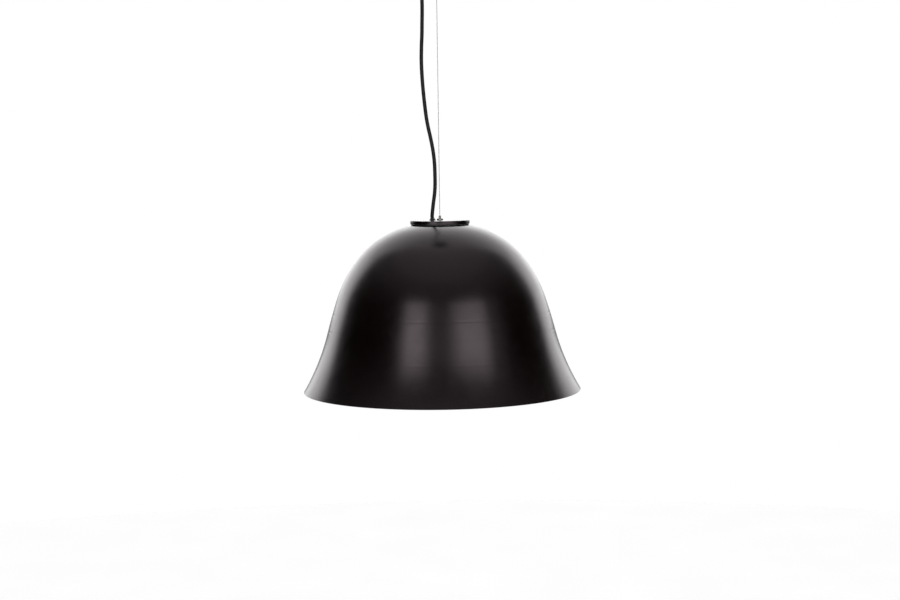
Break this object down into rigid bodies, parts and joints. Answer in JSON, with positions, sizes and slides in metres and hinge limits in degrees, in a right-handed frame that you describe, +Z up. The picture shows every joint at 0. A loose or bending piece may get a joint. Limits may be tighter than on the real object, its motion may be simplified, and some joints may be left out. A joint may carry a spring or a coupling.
{
  "type": "pendant ceiling light",
  "caption": "Bell-shaped metal pendant light on a steel wire with a push-release gripper, a slack power cord, a screw-in bulb and a round ceiling canopy.",
  "frame": {"origin": "on the ceiling, at the middle of the ceiling plate's top face, on the lamp's axis", "axes": "+Z up along the lamp's axis; +X to the right seen from the front, towards which the wire's swivel swings it; the power cord is on the -X side"},
  "size_m": [0.4499, 0.45, 0.6784],
  "materials": {
    "black_paint": "satin",
    "black_plastic": "satin",
    "cord_sheath": "matte",
    "core_insulation": "satin",
    "nickel": "polished",
    "wire_steel": "satin",
    "zinc_steel": "satin",
    "brass": "satin",
    "porcelain": "gloss",
    "white_plastic": "satin",
    "opal_glass": "satin",
    "black_glass": "gloss"
  },
  "bodies": {
    "ceiling_mount": {"ceiling_plate": "zinc_steel", "anchor_screw": "zinc_steel", "anchor_fork": "zinc_steel", "anchor_pin": "nickel", "canopy_cover": "black_paint", "canopy_screws": "black_paint", "wire_bush": "black_plastic", "cord_grip": "black_plastic", "cord_grip_nut": "black_plastic", "cord_tail": "cord_sheath", "supply_leads": "core_insulation", "terminal_block": "white_plastic", "terminal_tubes": "brass", "terminal_screws": "zinc_steel", "terminal_fixing_screw": "zinc_steel", "power_cord": "cord_sheath"},
    "swivel_link": {"toggle_link": "nickel", "toggle_pin": "nickel"},
    "wire": {"wire_eye": "nickel", "suspension_wire": "wire_steel", "wire_ferrule": "nickel"},
    "lamp": {"cap_disc": "black_paint", "shade": "black_paint", "clamp_plate": "zinc_steel", "clamp_screws": "zinc_steel", "gripper_body": "nickel", "gripper_plug": "nickel", "gripper_nut": "zinc_steel", "cord_collar": "black_plastic", "cord_clamp": "black_plastic", "inner_cord": "cord_sheath", "holder_bracket": "zinc_steel", "holder_nipple": "zinc_steel", "nipple_nuts": "zinc_steel", "holder_cup": "black_plastic", "holder_sleeve": "black_plastic", "holder_ring": "black_plastic", "porcelain_insert": "porcelain", "screw_shell": "brass", "centre_contact": "brass", "holder_terminals": "brass", "holder_leads": "core_insulation", "gripper_spring": "wire_steel"},
    "gripper_nose": {"gripper_plunger": "nickel", "gripper_balls": "wire_steel"},
    "bulb": {"bulb_globe": "opal_glass", "bulb_cap": "nickel", "bulb_insulator": "black_glass", "bulb_contact": "brass", "bulb_led_board": "white_plastic"}
  },
  "joints": [
    {"name": "swing_fore_aft", "type": "hinge", "parent": "ceiling_mount", "child": "swivel_link", "pos_m": [0, 0, -0.009], "axis": [1, 0, 0], "range_deg": [-12, 12], "deforming": ["power_cord"]},
    {"name": "swing_side", "type": "hinge", "parent": "swivel_link", "child": "wire", "pos_m": [0, 0, -0.017], "axis": [0, 1, 0], "range_deg": [-12, 12]},
    {"name": "wire_climb", "type": "slide", "parent": "wire", "child": "lamp", "axis": [0, 0, 1], "range_m": [0, 0.025]},
    {"name": "nose_press", "type": "slide", "parent": "lamp", "child": "gripper_nose", "axis": [0, 0, -1], "range_m": [0, 0.0015], "stiffness_N_per_m": 600, "deforming": ["gripper_spring"]},
    {"name": "bulb_out", "type": "slide", "parent": "lamp", "child": "bulb", "axis": [0, 0, -1], "range_m": [0, 0.15]}
  ]
}
